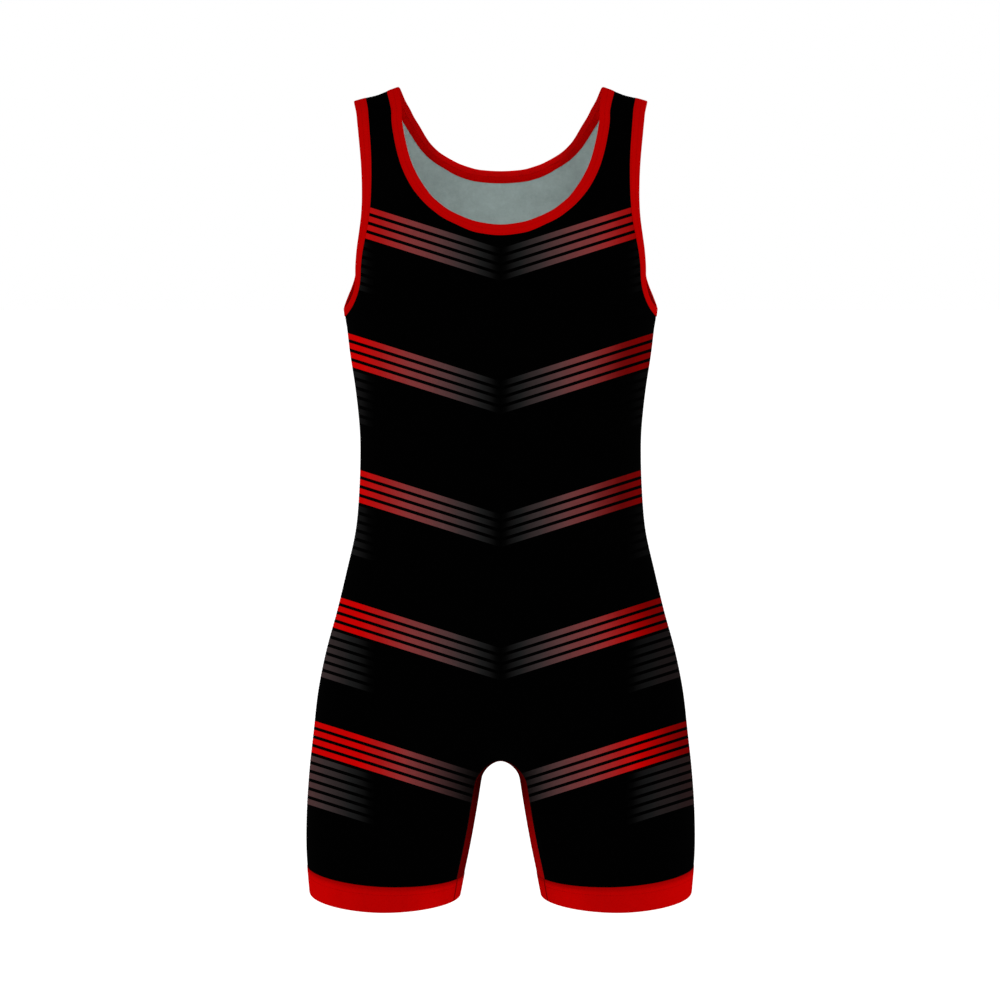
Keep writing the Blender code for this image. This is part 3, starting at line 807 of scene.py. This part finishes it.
strip = []
for part in UP_LEG:
    reach = float(gusset_half(part)) - 0.5 * SEAM
    y = spread(2 * reach, 28) - reach
    strip.append(inner_leg(np.full(len(y), part), y))
strip = np.array(strip)
along_strip = lengths(strip)
from_edge = np.minimum(along_strip, along_strip[:, -1:] - along_strip)
strip = strip - roll(from_edge)[..., None] * normal(strip)
gusset = cloth("red_inseam_gusset", strip, {"knit": knit_map(strip)}, (gusset_knit, gusset_knit), turned=True)
walled(gusset)
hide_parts("inseam_gusset")
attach(gusset, "root")

# ---- Neck binding ----
# A strip of red elastic knit folded over the raw edge of the neck and sewn down through both layers with
# two rows of stitches. Its ends are joined into a ring.

# Across the folded band, from the seam on the outside over the fold to the inside and back between its two
# layers: how far from the fold, and how far above the middle of the wall
BAND_SECTION = (
    (12.4, 0.66), (12.36, 0.86), (12.1, 0.96), (11.4, 1.0), (11.0, 0.96), (10.7, 0.86), (10.4, 0.96),
    (9.6, 1.03), (8.2, 1.05), (6.8, 1.02), (6.2, 0.96), (5.9, 0.87), (5.6, 0.96), (4.8, 1.03), (3.4, 1.05),
    (2.0, 1.02), (1.1, 0.9), (0.5, 0.66), (0.13, 0.35), (0.0, 0.0), (0.13, -0.35), (0.5, -0.6),
    (1.1, -0.74), (2.2, -0.8), (5.5, -0.8), (5.9, -0.72), (6.3, -0.8), (10.3, -0.8), (10.7, -0.72),
    (11.1, -0.8), (12.2, -0.78), (12.4, -0.66), (12.4, -0.26), (11.0, -0.24), (6.0, -0.24), (1.6, -0.24),
    (1.3, 0.2), (1.6, 0.64), (6.0, 0.64), (11.0, 0.64),
)


def band_map(ring, section):
    """The folded cloth's own place in metres: courses run round the ring, wales across the band."""
    middle = ring[:, len(section) // 4]
    along = lengths(np.concatenate([middle, middle[:1]]))
    across = lengths(np.array(section + section[:1], float))
    return np.stack(np.meshgrid(along, across, indexing="ij"), axis=-1) / 1000


def band_section_map(ring, section):
    """How far from the fold in metres, with 1 for the outside and 0 for the inside."""
    closed = np.array(section + section[:1], float)
    places = np.stack([closed[:, 0] / 1000, (closed[:, 1] > 0).astype(float)], axis=-1)
    return np.tile(places[None], (len(ring) + 1, 1, 1))


def band(name, ring, section, material, turned=False):
    """A closed band of cloth on a ring of cells."""
    maps = {"knit": band_map(ring, section), "band": band_section_map(ring, section)}
    return cloth(name, ring, maps, (material,), closed=(True, True), turned=turned)


def swept(edges, widths, hub, turns, section, join):
    """The band's section carried round the edges of both ways, joined into one ring of cells."""
    distances = sorted({d for d, _ in section})
    halves = []
    for edge, width in zip(edges, widths):
        lines = {d: moved(edge, d * width / BINDING_WIDTH, hub, turns) for d in distances}
        halves.append(np.stack([lines[d] + h * normal(lines[d]) for d, h in section], axis=1))
    return join(*halves)


def deep_red(strength):
    """The red of the bands, at this strength."""
    return (strength, 0.0004, 0.0004, 1.0)


def red_cloth(name, wale, course, relief, red):
    """Red elastic knit. Returns the material, its node tree and its red as an output."""
    material, tree, shader, tone = knit_material(
        name, wale, course, relief, unevenness=0.2, roughness=0.75, sheen=0.02, gloss=0.0, tint=RED_TINT
    )
    colour = tree.nodes.new("ShaderNodeRGB")
    colour.outputs[0].default_value = red
    tree.links.new(toned(tree, colour.outputs[0], tone), shader.inputs["Base Color"])
    return material, tree, colour.outputs[0]


def recoloured(tree, colour, other, part):
    """The red goes over to another red where the part is 1."""
    mix = tree.nodes.new("ShaderNodeMix")
    mix.data_type = "RGBA"
    mix.inputs[7].default_value = other
    used = [link.to_socket for link in colour.links]
    tree.links.new(part, mix.inputs["Factor"])
    for socket in used:
        tree.links.new(mix.outputs[2], socket)
    tree.links.new(colour, mix.inputs[6])
    return mix.outputs[2]


def binding_material(name, underside, below, side_shade):
    """Red knit with painted light and shade: the underside lighter by the fold, less below its upper
    stitches, darker far out.
    """
    material, tree, red = red_cloth(name, wale=0.8, course=0.6, relief=0.08, red=deep_red(0.35))
    place = parted(tree, on_map(tree, "band"))
    inside = reckon(tree, "SUBTRACT", 1.0, place["Y"])
    red = recoloured(tree, red, underside, inside)
    lower = reckon(tree, "MULTIPLY", inside, eased(tree, place["X"], 0.0052, 0.0066))
    red = recoloured(tree, red, below, lower)
    far_out = eased(tree, reckon(tree, "ABSOLUTE", parted(tree, on_garment(tree))["X"]), 0.05, 0.075)
    far_out = reckon(tree, "MULTIPLY", reckon(tree, "MULTIPLY", far_out, inside), side_shade)
    recoloured(tree, red, (0.0, 0.0, 0.0, 1.0), far_out)
    return material


# Painted light on the neck band's underside, lighter by the fold than below the stitches, with painted shade
# towards the sides
NECK_UNDERSIDE = (0.63, 0.002, 0.002, 1.0)
neck_knit = binding_material("neck binding knit", NECK_UNDERSIDE, deep_red(0.54), side_shade=0.27)
thread = red_cloth("red thread", wale=0.3, course=0.3, relief=0.02, red=deep_red(0.3))[0]

# A run of thread: part of its length, part of its thickness, and height above the cloth in thicknesses
THREAD_RUN = ((0, 0.4, -0.9), (0.2, 1, 0.25), (0.8, 1, 0.25), (1, 0.4, -0.9))
THREAD_SIDES = 6


def read_line(points, along, where):
    """The points of a line at these distances along it."""
    return np.stack([np.interp(where, along, points[:, axis]) for axis in range(3)], axis=1)


def stitches(name, lines, material, length=2.8, gap=0.5, radius=0.17):
    """Short runs of thread along lines of points and normals, each end going down into the cloth."""
    starts, ends, outs = [], [], []
    for points, out in lines:
        along = lengths(points)
        count = int(along[-1] // (length + gap))
        pitch = along[-1] / count
        first = (np.arange(count) + 0.5 * gap / pitch) * pitch
        starts.append(read_line(points, along, first))
        ends.append(read_line(points, along, first + pitch - gap))
        outs.append(read_line(out, along, first + 0.5 * length))
    start, end, out = np.concatenate(starts), np.concatenate(ends), np.concatenate(outs)
    run = end - start
    side = np.cross(run, out)
    side /= np.linalg.norm(side, axis=1, keepdims=True)
    out = np.cross(side, run)
    out /= np.linalg.norm(out, axis=1, keepdims=True)
    points = []
    for part, thick, lift in THREAD_RUN:
        middle = start + part * run + lift * radius * out
        for turn in np.linspace(0, 2 * math.pi, THREAD_SIDES, endpoint=False):
            points.append(middle + radius * thick * (math.cos(turn) * out + math.sin(turn) * side))
    points = np.stack(points, axis=1)
    base = points.shape[1] * np.arange(len(points))[:, None, None]
    ring = np.arange(THREAD_SIDES)
    around = np.stack([ring, (ring + 1) % THREAD_SIDES], axis=1)
    around = np.concatenate([around, THREAD_SIDES + around[:, ::-1]], axis=1)
    around = np.concatenate([around + THREAD_SIDES * step for step in range(len(THREAD_RUN) - 1)])
    caps = np.stack([ring[::-1], ring + THREAD_SIDES * (len(THREAD_RUN) - 1)])
    faces = (base + around).reshape(-1, 4).tolist() + (base + caps).reshape(-1, THREAD_SIDES).tolist()
    mesh = bpy.data.meshes.new(name)
    mesh.from_pydata((points.reshape(-1, 3) / 1000).tolist(), [], faces)
    mesh.uv_layers.new(name="knit")
    mesh.shade_smooth()
    mesh.materials.append(material)
    piece = bpy.data.objects.new(name, mesh)
    bpy.context.scene.collection.objects.link(piece)
    return piece


def stitch_rows(ring, section, rows):
    """The lines where the two rows of stitches lie, on the outside and on the inside of a folded band."""
    lines = []
    for d, h in rows:
        k = section.index((d, h))
        line = np.concatenate([ring[:, k], ring[:1, k]])
        lines.append((line, np.sign(h) * normal(line)))
    return lines


def closed_neck(front_half, back_half):
    """The ring round the neck, from the front's centre over the wearer's left shoulder and back."""
    half = np.concatenate([front_half, back_half[-2::-1]])
    half[0, :, 0] = half[-1, :, 0] = 0.0
    return np.concatenate([half, half[-2:0:-1] * MIRROR])


SEWN_ROWS = ((10.7, 0.86), (5.9, 0.87), (5.9, -0.72), (10.7, -0.72))
neck_parts = {-1: np.linspace(0, 1, 66), 1: np.linspace(0, 1, 52)}
neck_ring = swept(
    [neck_edge(way, parts) for way, parts in neck_parts.items()],
    [neck_width(way, parts) for way, parts in neck_parts.items()],
    NECK_HUB,
    "xy",
    BAND_SECTION,
    closed_neck,
)
neck_binding = band("red_neck_binding", neck_ring, BAND_SECTION, neck_knit)
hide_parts("neck_binding")
neck_stitches = stitches("neck_binding_stitches", stitch_rows(neck_ring, BAND_SECTION, SEWN_ROWS), thread)
for piece in (neck_binding, neck_stitches):
    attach(piece, "root")

# ---- Armhole bindings ----
# The same red elastic knit, folded over the raw edge of each armhole and sewn down with two rows of
# stitches. Its ends meet under the arm.


def closed_armhole(front_half, back_half):
    """The ring round the armhole, from under the arm up the front and down the back."""
    return np.concatenate([front_half, back_half[-2:0:-1]])


# Painted light on the armhole bands' underside, lighter by the fold than below the stitches
armhole_knit = binding_material("armhole binding knit", deep_red(0.5), deep_red(0.42), side_shade=0.0)
arm_parts = np.linspace(0, 1, 66)
arm_ring = swept(
    [arm_edge(-1, arm_parts), arm_edge(1, arm_parts)],
    [arm_width(arm_parts), arm_width(arm_parts)],
    ARM_HUB,
    "yy",
    BAND_SECTION,
    closed_armhole,
)
for side_name, mirror in (("left", 1), ("right", -1)):
    ring = arm_ring * [mirror, 1, 1]
    binding = band("red_armhole_binding_" + side_name, ring, BAND_SECTION, armhole_knit, turned=mirror < 0)
    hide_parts("armhole_binding_" + side_name)
    sewing = stitches("armhole_stitches_" + side_name, stitch_rows(ring, BAND_SECTION, SEWN_ROWS), thread)
    for piece in (binding, sewing):
        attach(piece, "root")

# ---- Leg cuffs ----
# A deeper band of red elastic knit, folded double at each leg hem and sewn down with two rows of stitches.
# Its ends meet in a seam that carries on the gusset's front seam.

CUFF_SECTION = (
    (24.2, 0.66), (24.1, 0.86), (23.5, 0.97), (22.8, 1.0), (22.4, 0.95), (22.1, 0.86), (21.8, 0.95),
    (21.0, 1.03), (19.0, 1.06), (17.2, 1.03), (16.9, 0.97), (16.6, 0.88), (16.3, 0.97), (15.6, 1.04),
    (12.0, 1.06), (8.0, 1.06), (4.0, 1.05), (2.2, 1.02), (1.1, 0.9), (0.5, 0.66), (0.13, 0.35), (0.0, 0.0),
    (0.13, -0.35), (0.5, -0.6), (1.1, -0.74), (2.2, -0.8), (8.0, -0.8), (16.2, -0.8), (16.6, -0.72),
    (17.0, -0.8), (21.7, -0.8), (22.1, -0.72), (22.5, -0.8), (24.0, -0.78), (24.2, -0.66), (24.2, -0.26),
    (16.0, -0.24), (8.0, -0.24), (1.6, -0.24), (1.3, 0.2), (1.6, 0.64), (8.0, 0.64), (16.0, 0.64),
)
CUFF_ROWS = ((22.1, 0.86), (16.6, 0.88), (16.6, -0.72), (22.1, -0.72))
CUFF_DEPTH, CUFF_GROOVE = 24.2, 0.3
CUFF_SEAM_AT = 0.0016  # how far round the ring its seam lies

# Painted light and shade: brighter at the outside and the inside of the leg, a painted shadow along the upper
# edge, and painted shade darkest in the seam's groove
cuff_knit, tree, red = red_cloth("cuff elastic", wale=1.0, course=0.7, relief=0.12, red=deep_red(0.42))
from_centre = reckon(tree, "ABSOLUTE", parted(tree, on_garment(tree))["X"])
red = recoloured(tree, red, deep_red(0.35), eased(tree, from_centre, 0.2, 0.12))
red = recoloured(tree, red, deep_red(0.42), eased(tree, from_centre, 0.1, 0.065))
from_hem = parted(tree, on_map(tree, "band"))["X"]
red = recoloured(tree, red, deep_red(0.25), eased(tree, from_hem, 0.0178, 0.0245))
round_ring = parted(tree, on_map(tree, "knit"))["X"]
from_seam = reckon(tree, "ABSOLUTE", reckon(tree, "SUBTRACT", round_ring, CUFF_SEAM_AT))
recoloured(tree, red, deep_red(0.16), eased(tree, from_seam, 0.003, 0.0003))
DARK_THREAD = (0.14, 0.0006, 0.0008, 1.0)
dark_thread = red_cloth("dark red thread", wale=0.3, course=0.3, relief=0.02, red=DARK_THREAD)[0]

CUFF_MIDDLE_Z = -811.5
hub_x = float(0.5 * (leg_gap(CUFF_MIDDLE_Z) + half_width(CUFF_MIDDLE_Z)))
seam_point = inner_leg(np.array([0.0]), np.array([-GUSSET_AT_CUFF]))[0]
seam_turn = math.atan2(seam_point[1], seam_point[0] - hub_x)
beside_seam = np.radians([-1.2, -0.7, -0.35, 0, 0.35, 0.7, 1.2])
angles = seam_turn + np.concatenate([beside_seam, np.radians(np.linspace(3.5, 356.5, 112))])
off_seam = np.degrees((angles - seam_turn + math.pi) % (2 * math.pi) - math.pi)
groove = CUFF_GROOVE * np.exp(-((off_seam / 0.45) ** 2))
headings = np.stack([np.cos(angles), np.sin(angles), 0 * angles], axis=1)
cuff_ring = []
for d, h in CUFF_SECTION:
    part = d / CUFF_DEPTH
    z = HEM_Z + part * (CUFF_TOP - HEM_Z) + (HEM_TILT + part * (CUFF_TILT - HEM_TILT)) * np.cos(angles)
    hub = 0.5 * (leg_gap(z) + half_width(z))
    line = cast(np.stack([hub, 0 * z, z], axis=1), headings)
    out = normal(line)
    out[:, 2] = 0
    out /= np.linalg.norm(out, axis=1, keepdims=True)
    cuff_ring.append(line + (h - groove * (h > 0.7))[:, None] * out)
cuff_ring = np.stack(cuff_ring, axis=1)
# The seam lies in the groove, and carries on the gusset's front seam
on_outside = [k for k, (d, h) in enumerate(CUFF_SECTION) if h > 0.8 and d > 1]
cuff_seam = cuff_ring[list(beside_seam).index(0), on_outside]
seam_out = normal(cuff_seam)
for side_name, mirror in (("left", 1), ("right", -1)):
    ring = cuff_ring * [mirror, 1, 1]
    cuff = band("red_leg_cuff_" + side_name, ring, CUFF_SECTION, cuff_knit, turned=mirror < 0)
    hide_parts("leg_cuff_" + side_name)
    sewing = stitches("cuff_stitches_" + side_name, stitch_rows(ring, CUFF_SECTION, CUFF_ROWS), thread)
    seam_line = ((cuff_seam + 0.1 * seam_out) * [mirror, 1, 1], seam_out * [mirror, 1, 1])
    name = "cuff_seam_stitches_" + side_name
    seam_sewing = stitches(name, [seam_line], dark_thread, length=2.6, gap=0.15, radius=0.24)
    for piece in (cuff, sewing, seam_sewing):
        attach(piece, "root")

# ---- Seam stitching ----
# The panels and the gusset are sewn flat, with a row of stitches on each side of every seam: black on the
# panels and dark red on the gusset. The rows stand a little proud of the cloth.

black_thread, tree, shader, tone = knit_material(
    "black thread", wale=0.3, course=0.3, relief=0.02, unevenness=0.3, roughness=0.6, sheen=0.01, gloss=0.02
)
tree.links.new(toned(tree, (0.006, 0.006, 0.006, 1.0), tone), shader.inputs["Base Color"])


def seam_rows(grid, places):
    """Lines on the printed side along these rows or columns of a grid, on both halves of the garment."""
    lines = []
    for place in places:
        line = grid[place]
        out = normal(line)
        for mirror in ([1, 1, 1], MIRROR):
            lines.append(((line + (FACE - 0.05) * out) * mirror, out * mirror))
    return lines


side_seam, gusset_seam, shoulder_seam = np.s_[3:body_rows, -4], np.s_[3 : len(UP_LEG), 3], np.s_[-3, 3:-3]
front_seams = seam_rows(front, [side_seam, gusset_seam, shoulder_seam])
back_seams = seam_rows(back, [side_seam, gusset_seam, shoulder_seam])
gusset_seams = seam_rows(strip, [np.s_[3:, 3], np.s_[3:, -4]])
front_sewing = stitches("front_panel_stitches", front_seams, black_thread)
back_sewing = stitches("back_panel_stitches", back_seams, black_thread)
gusset_sewing = stitches("gusset_stitches", gusset_seams, dark_thread)
for sewing, cloth_slot in (
    (front_sewing, "printed_knit"),
    (back_sewing, "printed_knit"),
    (gusset_sewing, "plain_knit"),
):
    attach(sewing, "root")

# ---- Floor, lights and background ----
# A plain white floor below the hanging garment, an even white surround, and a soft light on each side, in
# front of the garment and above its shoulders.

floor_material = bpy.data.materials.new("white floor")
floor_material.use_nodes = True
white = floor_material.node_tree.nodes["Principled BSDF"].inputs
white["Base Color"].default_value = (0.97, 0.97, 0.97, 1.0)
white["Roughness"].default_value = 1.0
white["Emission Color"].default_value = (1.0, 1.0, 1.0, 1.0)
white["Emission Strength"].default_value = 0.15
FLOOR_HALF, FLOOR_Z = 60.0, -1.45
floor_mesh = bpy.data.meshes.new("floor")
floor_corners = [(FLOOR_HALF * x, FLOOR_HALF * y, FLOOR_Z) for x, y in ((-1, -1), (1, -1), (1, 1), (-1, 1))]
floor_mesh.from_pydata(floor_corners, [], [(0, 1, 2, 3)])
floor_mesh.materials.append(floor_material)
floor = bpy.data.objects.new("floor", floor_mesh)
bpy.context.scene.collection.objects.link(floor)

world = bpy.data.worlds.new("white surround")
world.use_nodes = True
surround = world.node_tree.nodes["Background"].inputs
surround["Color"].default_value, surround["Strength"].default_value = (1, 1, 1, 1), 1.0
bpy.context.scene.world = world

for side in (-1, 1):
    softbox = bpy.data.lights.new("softbox", "AREA")
    softbox.shape, softbox.size, softbox.energy = "SQUARE", 2.6, 40.0
    lamp = bpy.data.objects.new("softbox", softbox)
    lamp.location = (side * 3.9, -2.4, 0.5)
    lamp.rotation_euler = (math.radians(78), 0, side * math.radians(60))
    bpy.context.scene.collection.objects.link(lamp)

bpy.context.scene.view_settings.view_transform = "Standard"
